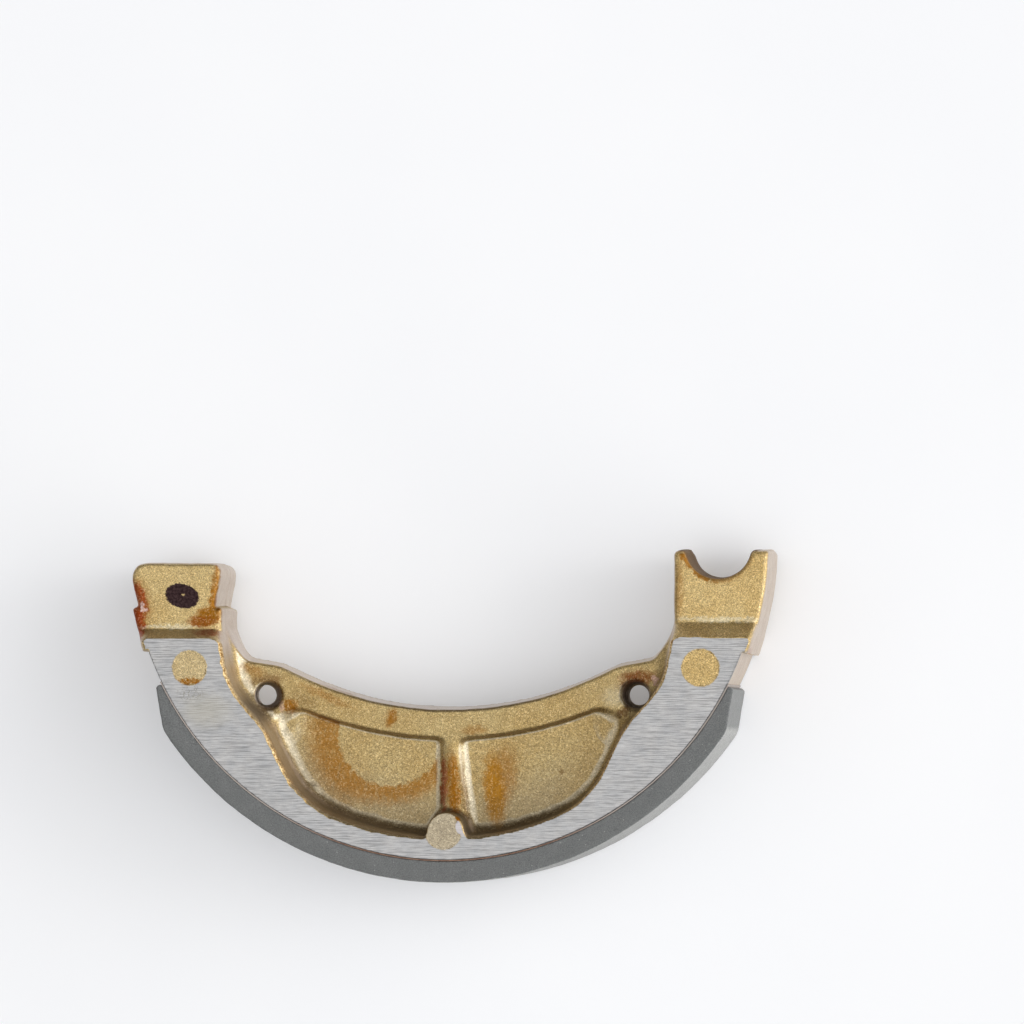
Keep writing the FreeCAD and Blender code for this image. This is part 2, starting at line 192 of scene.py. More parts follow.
def skin(solid, xs, ys, zs):
    """Vertices and quads of the surface where the distance field of a solid is zero."""
    axes = (xs, ys, zs)
    x, y = np.meshgrid(xs, ys, indexing="ij")
    field = solid(x[:, :, None], y[:, :, None], zs[None, None, :])
    inside = field < 0
    cells = [n - 1 for n in field.shape]
    total = cells[0] * cells[1] * cells[2]
    sums = np.zeros((total, 3))
    count = np.zeros(total)
    edges = []
    for axis in range(3):
        near = [slice(None)] * 3
        far = [slice(None)] * 3
        near[axis] = slice(0, -1)
        far[axis] = slice(1, None)
        index = np.argwhere(inside[tuple(near)] != inside[tuple(far)])
        ahead = index.copy()
        ahead[:, axis] += 1
        a = field[tuple(index.T)]
        b = field[tuple(ahead.T)]
        point = np.stack([axes[k][index[:, k]] for k in range(3)], 1)
        point[:, axis] += (a / (a - b)) * (axes[axis][ahead[:, axis]] - axes[axis][index[:, axis]])
        u, v = (axis + 1) % 3, (axis + 2) % 3
        around = []
        for du, dv in ((0, 0), (1, 0), (1, 1), (0, 1)):
            cell = index.copy()
            cell[:, u] -= du
            cell[:, v] -= dv
            key = (cell[:, 0] * cells[1] + cell[:, 1]) * cells[2] + cell[:, 2]
            around.append(key)
            count += np.bincount(key, minlength=total)
            for k in range(3):
                sums[:, k] += np.bincount(key, weights=point[:, k], minlength=total)
        quads = np.stack(around, 1)
        quads[a > b] = quads[a > b][:, ::-1]
        edges.append(quads)
    used = np.flatnonzero(count)
    number = np.full(total, -1)
    number[used] = np.arange(len(used))
    return sums[used] / count[used, None], number[np.concatenate(edges)]


def lightened(mesh, triangles):
    """The mesh with its flat stretches collapsed, down to some number of triangles."""
    carrier = bpy.data.objects.new("carrier", mesh)
    bpy.context.scene.collection.objects.link(carrier)
    collapse = carrier.modifiers.new("collapse", "DECIMATE")
    collapse.ratio = min(1.0, triangles / (2 * len(mesh.polygons)))
    graph = bpy.context.evaluated_depsgraph_get()
    lighter = bpy.data.meshes.new_from_object(carrier.evaluated_get(graph))
    bpy.data.objects.remove(carrier)
    bpy.data.meshes.remove(mesh)
    return lighter


def field_normals(solid, points):
    """Directions in which the distance field of a solid rises fastest."""
    reach = 0.03
    normals = np.zeros(points.shape)
    for way in ((1, 1, 1), (1, -1, -1), (-1, 1, -1), (-1, -1, 1)):
        x, y, z = (points + reach * np.array(way)).T
        normals += solid(x, y, z)[:, None] * np.array(way)
    return normals / np.maximum(np.linalg.norm(normals, axis=1), 1e-9)[:, None]


def make_piece(name, solid, grid, triangles, material, node):
    """One closed mesh in metres that rides on the part and stands for a CAD node."""
    vertices, quads = skin(solid, *grid)
    mesh = bpy.data.meshes.new(name)
    mesh.from_pydata((vertices * METRE).tolist(), [], quads.tolist())
    mesh = lightened(mesh, triangles)
    mesh.name = name
    count = len(mesh.vertices)
    points = np.zeros(count * 3)
    mesh.vertices.foreach_get("co", points)
    points = points.reshape(count, 3) / METRE
    height = points[:, 2].copy()

    # Walls keep their own direction up to the machined edge, and flat faces are shaded flat.
    points[:, 2] = np.clip(height, SHADE_MARGIN, TOP - SHADE_MARGIN)
    normals = field_normals(solid, points)
    corners = np.zeros(len(mesh.loops), int)
    mesh.loops.foreach_get("vertex_index", corners)
    starts = np.zeros(len(mesh.polygons), int)
    mesh.polygons.foreach_get("loop_start", starts)
    sides = np.diff(np.append(starts, len(corners)))
    level = height[corners]
    lowest = np.minimum.reduceat(level, starts)
    highest = np.maximum.reduceat(level, starts)
    outermost = np.abs(lowest - MID) > MID - 2 * MARK_DEPTH
    machined = (highest - lowest < FLAT_HEIGHT) & outermost
    flat = np.repeat(machined, sides)
    loop_normals = normals[corners]
    loop_normals[flat] = 0.0
    loop_normals[flat, 2] = np.sign(level[flat] - MID)
    mesh.polygons.foreach_set("use_smooth", [True] * len(mesh.polygons))
    mesh.normals_split_custom_set(loop_normals.tolist())
    mesh.materials.append(material)
    piece = bpy.data.objects.new(name, mesh)
    bpy.context.scene.collection.objects.link(piece)
    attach(piece, "root")
    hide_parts(node)
    return piece


def grid_levels(upper, middle):
    """Levels above the middle plane, and their mirror images below it."""
    upper = np.array(upper)
    return np.concatenate([(2 * middle - upper)[::-1], [middle], upper])


BODY = rounded_outline([
    (60, -60, 0), (60, -1.2, 0), (30.25, -1.2, 0.6),
    (30.25, -11, 9), (28.75, -19, 12), (24, -24.2, 9), (18.86, -34.48, 12.7),
    (0, -41.72, 38.95),
    (-18.86, -34.48, 12.7), (-24, -24.2, 9), (-28.75, -19, 12), (-29.92, -11, 9),
    (-29.92, -8.66, 0.4), (-30.95, -8.66, 0.45), (-30.1, -4.62, 3), (-30.1, -2.62, 1.5),
    (-41.8, -2.62, 2), (-41.8, -5.02, 3), (-40.95, -8.66, 0.45), (-60, -8.66, 0),
    (-60, -60, 0),
])
WEB = rounded_outline([
    (34.05, -8.58, 0), (27.05, -15.58, 2.6), (22.6, -16.33, 5), (0, -27.11, 46.4),
    (-22.6, -16.33, 5), (-27.05, -15.58, 2.6), (-34.05, -8.58, 0), (-34.05, -60, 0),
    (34.05, -60, 0),
])
POCKETS = [
    rounded_outline([
        (edge, -26.05, 1.7), (side * 10.86, -25.37, 50.35), (side * 20, -21.99, 2),
        (side * 25.4, -25.66, 0), (side * 25.4, -60, 0), (edge, -60, 0),
    ])
    for side, edge in ((-1, RIB_LEFT), (1, RIB_RIGHT))
]


def toe_or_heel(x, pair):
    """The first of two values on the toe's side, the second on the heel's."""
    return np.where(x < 0, pair[0], pair[1])


def casting_field(x, y, z):
    """Distance to the casting's surface in millimetres, below zero inside."""
    body = outline_distance(BODY, x, y)
    web = outline_distance(WEB, x, y)
    pocket = np.minimum(*[outline_distance(loop, x, y) for loop in POCKETS])
    rise = np.abs(z - MID)
    fade = 1 - rise / MID
    flash = np.exp(-((z - MID) / FLASH_WIDTH) ** 2)
    radius = np.hypot(x, y)
    below_bond = radius - BOND_RADIUS + BOND_COVER

    # Rim and feet with their draft, and the slopes down to the recessed feet.
    wall = body - WALL_DRAFT * fade - FLASH * flash
    wall = smooth_max(wall, radius - FOOT_RADIUS - RADIAL_DRAFT * fade, 0.5)
    drop = MID - FOOT_RISE
    end = toe_or_heel(x, (TOE_STEP[0], HEEL_STEP[0]))
    run = toe_or_heel(x, (TOE_STEP[1], HEEL_STEP[1]))
    step = ((y - end) * drop + (rise - FOOT_RISE) * run) / np.hypot(drop, run)
    foot_share = np.clip((y - end + 1.0) / 1.5, 0, 1)

    # The brim of the side face is worn and ragged by the toe, and crisp beside the right pocket.
    worn = np.clip((-x - BRIM_FROM) / BRIM_OVER, 0, 1)
    crisp = 0.5 * np.clip((x - BRIM_FROM) / BRIM_OVER, 0, 1)
    crisp = crisp * np.clip((-y - 19) / 3, 0, 1) * np.clip(40.5 - radius, 0, 1)
    ragged = (0.05 + 0.1 * worn) * lumps(x, y, 0 * z, 0.8, SCENE_SEED + 4)
    brim = BRIM_RISE + 0.15 * worn + ragged
    ceiling = smooth_max(rise - brim, smooth_min(rise - FOOT_RISE, step, 0.2), 0.2)
    rounding = 1.2 + 0.55 * worn - crisp - (0.35 + 0.55 * worn) * foot_share
    shape = smooth_max(wall, ceiling, rounding)
    far_inside = -9.0
    shape = smooth_max(shape, toe_or_heel(x, (y - TOE_FACE, far_inside)), 0.5)

    # Web with its pockets and their rib, blended into the rim by a tall flared foot.
    web_draft = WEB_DRAFT * np.clip(1 - rise / WEB_RISE, 0, 1)
    plate = smooth_max(web - web_draft - WEB_FLASH * flash, rise - WEB_RISE, 0.5)
    corner_x, corner_y, corner_reach = POCKET_CORNER
    from_corner = np.hypot(np.abs(x) - corner_x, y - corner_y)
    corner = np.clip(1.4 - from_corner / corner_reach, 0, 1)
    over_floor = rise - POCKET_RISE
    floor = POCKET_RISE + 0.4 * corner
    drafted = pocket - POCKET_DRAFT * np.clip(over_floor, 0, 3)
    bowl = smooth_max(drafted, floor - rise, 0.5 + 0.6 * corner)
    left_flank = (x - RIB_LEFT + 1.0 - 1.0 * over_floor) / math.hypot(1, 1)
    right_flank = RIB_RIGHT + 0.7 - 0.14 * (y + 27) - 1.1 * over_floor - x
    right_flank = right_flank / math.hypot(1, 1.1)
    bowl = smooth_max(bowl, smooth_min(left_flank, right_flank, 0.5), 0.55)
    ridge = np.exp(-((x - 0.6) / 1.8) ** 2)
    plate = smooth_max(plate, -bowl, 0.35 + 0.5 * ridge + 0.9 * corner)
    plate = np.maximum(plate, below_bond)
    shape = smooth_min(shape, plate, 1.9 + 0.5 * np.clip((np.abs(x) - 15) / 8, 0, 1))

    # Boss under the middle ejector mark, on the upper side only.
    boss = np.hypot(x - BOSS[0], y - BOSS[1]) - BOSS[2] - 0.1 * fade
    boss = np.maximum(boss, np.maximum(MID - z, below_bond))
    boss = smooth_max(boss, rise - BOSS_RISE, 0.4)
    shape = smooth_min(shape, boss, 1.1)

    # Spring holes: narrowest at the parting plane, with a wide mouth that leans inwards above.
    across = np.abs(x) - SPRING_X
    open_share = np.clip((z - MOUTH_LEVEL) / MOUTH_DEPTH, 0, 1)
    lean = toe_or_heel(x, MOUTH_LEAN) * open_share
    taper = toe_or_heel(x, LOWER_TAPER) * np.clip(LOWER_LEVEL - z, 0, MOUTH_DEPTH)
    flare = toe_or_heel(x, MOUTH_FLARE) * open_share
    bore = SPRING_RADIUS + taper - np.hypot(across + 0.4 * lean, y - SPRING_Y)
    mouth = np.hypot(across + lean, y - SPRING_Y) - SPRING_RADIUS - flare
    shape = smooth_max(shape, bore, 0.3)
    shape = smooth_max(shape, -smooth_max(mouth, MOUTH_LEVEL - z, 0.2), 0.55)

    # Anchor pin seat with a little draft, then the unevenness of cast metal.
    seat_x, seat_y, seat_radius = ANCHOR_SEAT
    seat = seat_radius - SEAT_DRAFT * fade - np.hypot(x - seat_x, y - seat_y)
    shape = smooth_max(shape, seat, 0.6)
    for index, (depth, size) in enumerate(CAST_LUMPS):
        shape = shape + depth * lumps(x, y, z, size, SCENE_SEED + index)

    # The ground seat of the lining, the machined side faces, and the marks sunk in the upper one.
    toe_angle = math.radians(BOND_TOE_END)
    heel_angle = math.radians(BOND_HEEL_END)
    beyond_toe = y * math.cos(toe_angle) - x * math.sin(toe_angle)
    beyond_heel = y * math.cos(heel_angle) - x * math.sin(heel_angle)
    bonded = np.maximum(BOND_RADIUS - radius, np.maximum(-beyond_toe, beyond_heel))
    shape = np.maximum(shape, -bonded)
    shape = np.maximum(shape, rise - MID)
    frayed = 0.1 * lumps(x, y, 0 * z, 0.8, SCENE_SEED)
    for mark in MARKS:
        mark_x, mark_y, mark_radius = mark
        disc = np.hypot(x - mark_x, y - mark_y) - mark_radius + frayed
        if mark is BOSS_MARK:
            worn_x, worn_y, worn_a, worn_b = BOSS_WORN
            from_worn = np.hypot((x - worn_x) / worn_a, (y - worn_y) / worn_b)
            disc = np.maximum(disc, 1.3 - 1.3 * from_worn)
        shape = np.maximum(shape, -np.maximum(disc, TOP - MARK_DEPTH - z))
    return shape


def lining_field(x, y, z):
    """Distance to the lining's surface in millimetres, below zero inside."""
    radius = np.hypot(x, y)
    inner = BOND_RADIUS + FILM
    side_face = np.abs(z - MID) - MID
    shape = radius - LINING_RADIUS
    for side, angle in LINING_ENDS:
        tip_radius = inner + LINING_TIP
        a = math.radians(-angle)
        b = math.radians(-angle - LINING_BEVEL)
        tip = (tip_radius * math.cos(a), tip_radius * math.sin(a))
        back = (LINING_RADIUS * math.cos(b), LINING_RADIUS * math.sin(b))
        length = math.hypot(back[0] - tip[0], back[1] - tip[1])
        along = ((back[0] - tip[0]) / length, (back[1] - tip[1]) / length)
        out_x = side * x - tip[0]
        out_y = y - tip[1]
        shape = smooth_max(shape, along[0] * out_y - along[1] * out_x, 0.3)
        shape = smooth_max(shape, y * math.cos(a) - side * x * math.sin(a), 0.25)
    shape = smooth_max(shape, side_face, 0.22)
    chips = lumps(x, y, z, 0.8, SCENE_SEED + 2) + lumps(x, y, z, 2.2, SCENE_SEED + 3)
    shape = shape + 0.02 + 0.025 * chips
    shape = np.maximum(shape, side_face)
    return np.maximum(shape, inner - radius)


class Nodes:
    """Adds nodes to a tree. Most methods return an output socket."""

    def __init__(self, tree):
        self.tree = tree
        self.tree.nodes.clear()

    def feed(self, socket, value):
        if isinstance(value, bpy.types.NodeSocket):
            self.tree.links.new(value, socket)
        else:
            socket.default_value = value

    def node(self, kind, inputs, **settings):
        node = self.tree.nodes.new(kind)
        for key, value in settings.items():
            setattr(node, key, value)
        for key, value in inputs.items():
            self.feed(node.inputs[key], value)
        return node

    def math(self, operation, a, b=0.0, clamp=False):
        node = self.node("ShaderNodeMath", {0: a, 1: b}, operation=operation, use_clamp=clamp)
        return node.outputs[0]

    def product(self, first, *others):
        for other in others:
            first = self.math("MULTIPLY", first, other)
        return first

    def largest(self, first, *others):
        for other in others:
            first = self.math("MAXIMUM", first, other)
        return first

    def rest(self, share):
        """What is left of one."""
        return self.math("SUBTRACT", 1.0, share)

    def fade(self, value, low, high, start=0.0, end=1.0):
        """Goes smoothly from start to end while value goes from low to high."""
        inputs = {"Value": value, 1: low, 2: high, 3: start, 4: end}
        return self.node("ShaderNodeMapRange", inputs, interpolation_type="SMOOTHSTEP").outputs[0]


class Shade(Nodes):
    """Builds one material over places and sizes in millimetres."""

    def __init__(self, name):
        self.material = bpy.data.materials.new(name)
        self.material.use_nodes = True
        super().__init__(self.material.node_tree)
        self.output = self.tree.nodes.new("ShaderNodeOutputMaterial")
        self.shader = self.tree.nodes.new("ShaderNodeBsdfPrincipled")
        self.tree.links.new(self.shader.outputs[0], self.output.inputs[0])
        place = self.tree.nodes.new("ShaderNodeTexCoord").outputs["Object"]
        self.place = self.vector("SCALE", place, scale=1.0 / METRE)
        self.x, self.y, self.z = self.node("ShaderNodeSeparateXYZ", {0: self.place}).outputs
        self.from_middle = self.math("ABSOLUTE", self.x)
        self.rise = self.math("ABSOLUTE", self.math("SUBTRACT", self.z, MID))
        self.radius = self.flat_length(self.place)
        normal = self.tree.nodes.new("ShaderNodeNewGeometry").outputs["Normal"]
        self.normal = self.node("ShaderNodeSeparateXYZ", {0: normal}).outputs
        self.level = self.math("ABSOLUTE", self.normal[2])

    def vector(self, operation, a, b=None, scale=None):
        inputs = {0: a}
        if b is not None:
            inputs[1] = b
        if scale is not None:
            inputs["Scale"] = scale
        node = self.node("ShaderNodeVectorMath", inputs, operation=operation)
        return node.outputs["Value" if operation == "LENGTH" else "Vector"]

    def flat_length(self, vector):
        return self.vector("LENGTH", self.vector("MULTIPLY", vector, (1, 1, 0)))

    def mix(self, share, a, b):
        node = self.node("ShaderNodeMix", {0: share, 6: a, 7: b}, data_type="RGBA")
        return node.outputs[2]

    def shaded(self, colour, value):
        """Colour times a grey value."""
        return self.vector("SCALE", colour, scale=value)

    def noise(self, scale, detail=2.0, roughness=0.55, place=None):
        inputs = {"Vector": place or self.place, "Scale": scale, "Detail": detail,
                  "Roughness": roughness}
        return self.node("ShaderNodeTexNoise", inputs).outputs["Fac"]

    def cells(self, scale):
        """Random value per cell, and the distance from the cell's centre."""
        node = self.node("ShaderNodeTexVoronoi", {"Vector": self.place, "Scale": scale})
        value = self.node("ShaderNodeSeparateColor", {0: node.outputs["Color"]}).outputs[0]
        return value, node.outputs["Distance"]

    def stretched(self, scale, turn=0.0):
        inputs = {0: self.place, "Scale": scale, "Rotation": (0, 0, turn)}
        return self.node("ShaderNodeMapping", inputs).outputs[0]

    def wandering(self, scale, reach):
        """The place, pushed about by a noise, for ragged outlines."""
        inputs = {"Vector": self.place, "Scale": scale, "Detail": 3.0, "Roughness": 0.6}
        drift = self.node("ShaderNodeTexNoise", inputs).outputs["Color"]
        drift = self.vector("SUBTRACT", drift, (0.5, 0.5, 0.5))
        return self.vector("ADD", self.place, self.vector("SCALE", drift, scale=reach))

    def blob(self, place, centre, size, turn=0.0, soft=0.4):
        """One inside an ellipsoid, zero outside, with a soft border."""
        inputs = {0: place, "Location": centre, "Rotation": (0, 0, math.radians(turn)),
                  "Scale": size}
        local = self.node("ShaderNodeMapping", inputs, vector_type="TEXTURE").outputs[0]
        return self.fade(self.vector("LENGTH", local), 1 - soft, 1 + soft, 1.0, 0.0)

    def finish(self, colour, roughness, metallic, height, distance):
        self.feed(self.shader.inputs["Base Color"], colour)
        self.feed(self.shader.inputs["Roughness"], roughness)
        self.feed(self.shader.inputs["Metallic"], metallic)
        bump = self.node("ShaderNodeBump", {"Height": height, "Distance": distance * METRE,
                                            "Strength": 1.0})
        self.feed(self.shader.inputs["Normal"], bump.outputs[0])
        return self.material


# Colours of the cast skin and of what lies on it.
WARM_GOLD = (0.455, 0.325, 0.138, 1)
LIGHT_GOLD = (0.5, 0.382, 0.182, 1)
DEEP_GOLD = (0.41, 0.285, 0.11, 1)
GLINT = (0.85, 0.8, 0.6, 1)
FILLET_HIGHLIGHT = (0.72, 0.66, 0.52, 1)
POCKET_PAINTED_SHADE = (0.26, 0.215, 0.145, 1)
RIM_WALL_PAINTED_SHADE = (0.16, 0.115, 0.06, 1)
WALL_REFLECTION_DARK = (0.55, 0.46, 0.4, 1)
WALL_REFLECTION_LIGHT = (0.62, 0.55, 0.49, 1)
TOE_INNER_WALL_SHADE = (0.44, 0.35, 0.245, 1)
HEEL_INNER_WALL_SHADE = (0.31, 0.24, 0.155, 1)
SEAT_WALL_SHADE = (0.13, 0.07, 0.024, 1)
HUB_EDGE = (0.7, 0.63, 0.59, 1)
MARK_GREY = (0.42, 0.37, 0.285)
RAW_DARK = (0.3, 0.16, 0.04, 1)
RAW_GLINT = (0.82, 0.62, 0.34, 1)
AMBER = (0.27, 0.105, 0.005, 1)
TIDE_BROWN = (0.3, 0.13, 0.014, 1)
BROWN = (0.17, 0.095, 0.03, 1)
HOLE_RIM_SHADE = (0.16, 0.07, 0.02, 1)
RED_BROWN = (0.27, 0.045, 0.008, 1)
RED_RUST = (0.14, 0.045, 0.013, 1)
HOLE_MOUTH_SHADE = (0.07, 0.034, 0.014, 1)
PINK = (0.62, 0.4, 0.32, 1)
PALE = (0.62, 0.55, 0.38, 1)
STEP_EDGE_HIGHLIGHT = (0.62, 0.57, 0.42, 1)
BOSS_WALL_SHADE = (0.05, 0.035, 0.022, 1)
INK_DARK = (0.022, 0.01, 0.011, 1)
INK_LIGHT = (0.06, 0.034, 0.035, 1)

# Colours of the machined side faces.
SILVER_COOL = (0.325, 0.327, 0.333, 1)
SILVER_WARM = (0.37, 0.365, 0.363, 1)
PEPPER = (0.2, 0.19, 0.17, 1)
DIRT = (0.3, 0.275, 0.2, 1)
WORN_BOSS_SHEEN = (0.52, 0.47, 0.48, 1)

TIDE_CENTRE = (-7.9, -25.2, 0.0)
TIDE_RADIUS = 7.0

# Stains on the cast skin, with painted shade and highlights among them: centre, size and turn in
# degrees, border softness, colour, strength.
STAINS_AND_PAINTED_LIGHT = [
    # Painted shade on the boss's walls.
    ((0.2, -38.1, 16.8), (3.6, 3.4, 2.7), 0, 0.35, BOSS_WALL_SHADE, 0.75),
    # Painted shade in the mouth of the toe's spring hole, darkest at its top and right.
    ((-24.4, -20.3, 12.8), (2.4, 2.2, 2.0), 0, 0.3, HOLE_MOUTH_SHADE, 0.7),
    ((-24.3, -22.0, 13.4), (1.9, 0.8, 2.0), 10, 0.5, HOLE_MOUTH_SHADE, 0.5),
    ((-24.6, -18.1, 14), (2.3, 0.6, 1.2), 5, 0.6, HOLE_RIM_SHADE, 0.6),
    ((-22.9, -19.5, 14), (0.6, 1.6, 1.2), 10, 0.6, HOLE_RIM_SHADE, 0.6),
    # Painted shade in the mouth of the heel's spring hole.
    ((24.7, -20.1, 12.6), (2.2, 2.3, 2.6), 0, 0.3, (0.055, 0.026, 0.007, 1), 0.95),
    ((-41.1, -7.8, 18), (1.8, 3.1, 3.0), 12, 0.35, AMBER, 0.55),
    ((-41.1, -11.0, 18), (1.4, 2.2, 3.0), 0, 0.35, AMBER, 0.55),
    ((-41.2, -7.8, 18), (1.35, 2.6, 3.0), 12, 0.3, RED_BROWN, 0.95),
    ((-41.1, -11.2, 18), (1.05, 1.8, 3.0), 0, 0.3, RED_BROWN, 0.95),
    ((-31.7, -9.8, 18), (1.9, 1.2, 1.2), 20, 0.4, AMBER, 1.0),
    ((-32.3, -10.4, 18), (2.0, 0.7, 1.2), 5, 0.4, (0.24, 0.07, 0.006, 1), 0.9),
    ((-30.9, -8.7, 18), (0.8, 1.5, 1.2), -10, 0.4, AMBER, 0.9),
    ((-30.75, -5.6, 18), (0.5, 3.8, 1.0), -8, 0.5, AMBER, 0.95),
    ((-31.4, -11.9, 19), (1.9, 0.6, 1.5), 0, 0.5, RED_BROWN, 0.7),
    ((-33.7, -18.4, 19.9), (1.6, 0.55, 0.5), 0, 0.3, AMBER, 1.0),
    ((-26.2, -16.9, 14), (1.6, 0.7, 1.0), -20, 0.6, AMBER, 0.55),
    ((-21.2, -21.6, 14), (0.9, 1.0, 1.0), 30, 0.4, AMBER, 0.95),
    ((-22.4, -21.7, 14), (0.35, 0.7, 1.0), 20, 0.4, PINK, 0.5),
    ((-7.7, -23.1, 14), (0.65, 1.1, 1.0), -20, 0.5, AMBER, 0.9),
    ((-19.3, -20.9, 14), (1.8, 0.8, 1.0), -30, 0.6, BROWN, 0.4),
    ((-16.4, -20.3, 14), (3.4, 0.5, 1.0), -24, 0.6, AMBER, 0.5),
    # Painted shade, partly a red stain, on the rib's left flank.
    ((-0.75, -32.0, 14), (0.5, 3.6, 1.5), 0, 0.3, RED_BROWN, 0.8),
    ((0.6, -32.2, 14), (0.9, 4.2, 1.5), 4, 0.4, AMBER, 1.0),
    # Painted shade on the rib's right flank.
    ((2.0, -33.2, 14), (0.4, 4.6, 1.2), 6, 0.4, BROWN, 0.7),
    ((31.5, -1.9, 18), (0.4, 0.9, 1.0), 18, 0.5, AMBER, 0.6),
    ((7.1, -31.0, 13), (1.7, 3.8, 1.5), -6, 0.5, AMBER, 0.65),
    ((5.9, -32.6, 13), (1.3, 4.4, 1.5), 5, 0.4, (0.35, 0.155, 0.01, 1), 0.95),
    ((6.3, -35.2, 13), (1.5, 1.6, 1.5), 0, 0.6, BROWN, 0.35),
    ((3.4, -24.8, 14), (1.6, 0.5, 1.0), 5, 0.6, AMBER, 0.55),
    ((25.2, -17.8, 14), (2.3, 0.9, 1.5), 5, 0.5, (0.2, 0.068, 0.016, 1), 0.95),
    ((30.9, -6.0, 18), (0.5, 4.2, 1.0), 0, 0.6, AMBER, 0.45),
    ((24.2, -18.9, 14), (1.9, 1.5, 2.0), 0, 0.5, RED_RUST, 0.5),
    ((27.4, -18.2, 14.5), (0.5, 0.7, 0.8), 30, 0.4, PINK, 0.8),
    ((22.0, -20.3, 14), (1.6, 1.2, 1.0), 20, 0.6, PALE, 0.45),
    ((23.2, -22.4, 14), (1.2, 0.6, 1.2), 35, 0.5, (0.1, 0.045, 0.014, 1), 0.85),
    ((-40.4, -8.6, 18), (0.3, 0.6, 1.0), 20, 0.5, (0.75, 0.6, 0.55, 1), 0.8),
    ((14.9, -30.2, 13), (0.3, 0.3, 0.5), 0, 0.4, BROWN, 0.7),
    ((40.3, -14.7, 18), (0.7, 0.7, 2.0), 0, 0.5, RED_BROWN, 0.35),
    # Painted highlights along the edges of the pads above the steps.
    ((-36.9, -11.15, 18), (3.4, 0.32, 0.8), 0, 0.5, STEP_EDGE_HIGHLIGHT, 0.6),
    ((36.0, -10.25, 18), (5.6, 0.32, 0.8), 0, 0.5, STEP_EDGE_HIGHLIGHT, 0.6),
]


def cast_skin(m, fine):
    """Champagne gold, uneven in tone, with paler painted highlights in the fillets and darker
    painted shade around the pockets.
    """
    drift = m.fade(m.noise(0.13, 3.0), 0.35, 0.65)
    mottle = m.fade(m.noise(0.75, 4.0, 0.6), 0.3, 0.7)
    gold = m.mix(drift, WARM_GOLD, LIGHT_GOLD)
    gold = m.mix(m.product(mottle, 0.35), gold, DEEP_GOLD)
    gold = m.shaded(gold, m.fade(fine, 0.25, 0.75, 0.52, 1.5))
    # Painted shade: the recessed web is darker than the raised pads.
    gold = m.shaded(gold, m.fade(m.rise, 4.2, 7.5, 0.92, 1.06))
    # Painted light: lighter towards the heel's side, where the light comes from.
    gold = m.shaded(gold, m.fade(m.x, 24.0, 32.0, 1.0, 1.06))

    # Painted highlights: the sloped fillets at the pocket floors, and the fillets that face +X.
    fillet_highlight = m.product(
        m.fade(m.level, 0.97, 0.995, 1.0, 0.0),
        m.fade(m.level, 0.78, 0.93),
        m.fade(m.rise, 3.3, 3.8, 0.52, 0.0),
    )
    lit_fillet_highlight = m.product(
        m.fade(m.normal[0], 0.1, 0.35),
        m.fade(m.level, 0.7, 0.88),
        m.fade(m.rise, 4.0, 6.5, 0.75, 0.1),
        m.largest(m.fade(m.rise, 3.6, 3.8, 1.0, 0.0), m.fade(m.from_middle, 17.0, 20.0)),
    )
    gold = m.mix(m.largest(fillet_highlight, lit_fillet_highlight), gold, FILLET_HIGHLIGHT)
    # Painted shade: darker and greyer towards the rim in the pockets, less on the heel's side.
    painted_pocket_shade = m.product(
        m.fade(m.radius, 30.0, 36.5),
        m.fade(m.rise, 3.6, 4.0, 0.5, 0.0),
        m.fade(m.y, -22.0, -17.0, 1.0, 0.0),
        m.fade(m.x, 12.0, 20.0, 1.0, 0.3),
    )
    gold = m.mix(painted_pocket_shade, gold, POCKET_PAINTED_SHADE)
    # Painted shade on the rim's inner walls that face the hub.
    hub_facing_shade = m.product(
        m.fade(m.normal[1], 0.15, 0.5),
        m.fade(m.y, -22.0, -18.0, 0.85, 0.25),
        m.fade(m.x, 12.0, 20.0, 1.0, 0.2),
    )
    return m.mix(hub_facing_shade, gold, RIM_WALL_PAINTED_SHADE)


def cast_walls(m, gold, upright, notch):
    """Upright walls: painted reflection, paler and pinker; brown painted shade inside the rim, dark
    in the anchor seat.
    """
    # Painted reflection of the pale floor on upright walls, in a random tone.
    tone = m.fade(m.noise(0.5, 4.0), 0.3, 0.7)
    wall = m.mix(tone, WALL_REFLECTION_DARK, WALL_REFLECTION_LIGHT)
    # Painted shade on the rim's inner walls, darker on the heel's side.
    inner = m.product(
        m.fade(m.radius, 37.0, 39.5, 1.0, 0.0),
        m.fade(m.y, -17.0, -13.0, 1.0, 0.0),
        m.fade(m.rise, 3.9, 5.0),
    )
    inner_wall_shade = m.mix(m.fade(m.x, -6.0, 0.0), TOE_INNER_WALL_SHADE, HEEL_INNER_WALL_SHADE)
    wall = m.mix(inner, wall, inner_wall_shade)
    toe_side = m.product(inner, m.fade(m.x, -6.0, 0.0, 0.6, 0.0))
    # Painted shade: the walls of the anchor seat are dark.
    wall = m.mix(notch, wall, SEAT_WALL_SHADE)
    # Walls facing ±X take most of the painted reflection, walls facing ±Y little of it below y =
    # -6.
    end_share = m.fade(m.y, -6.0, -4.0, 0.15, 0.75)
    share = m.fade(m.math("ABSOLUTE", m.normal[1]), 0.35, 0.85, 0.85, end_share)
    share = m.product(upright, m.largest(share, toe_side))
    share = m.largest(share, m.product(notch, upright))
    gold = m.mix(share, gold, wall)
    hub_edge = m.product(
        m.fade(m.rise, 4.0, 4.2, 1.0, 0.0),
        m.fade(m.radius, 31.5, 32.5, 1.0, 0.0),
        m.fade(m.level, 0.15, 0.45, 0.65, 0.0),
        m.fade(m.y, -13.0, -9.0, 1.0, 0.0),
        m.fade(m.normal[1], 0.2, 0.6),
    )
    return m.mix(hub_edge, gold, HUB_EDGE)


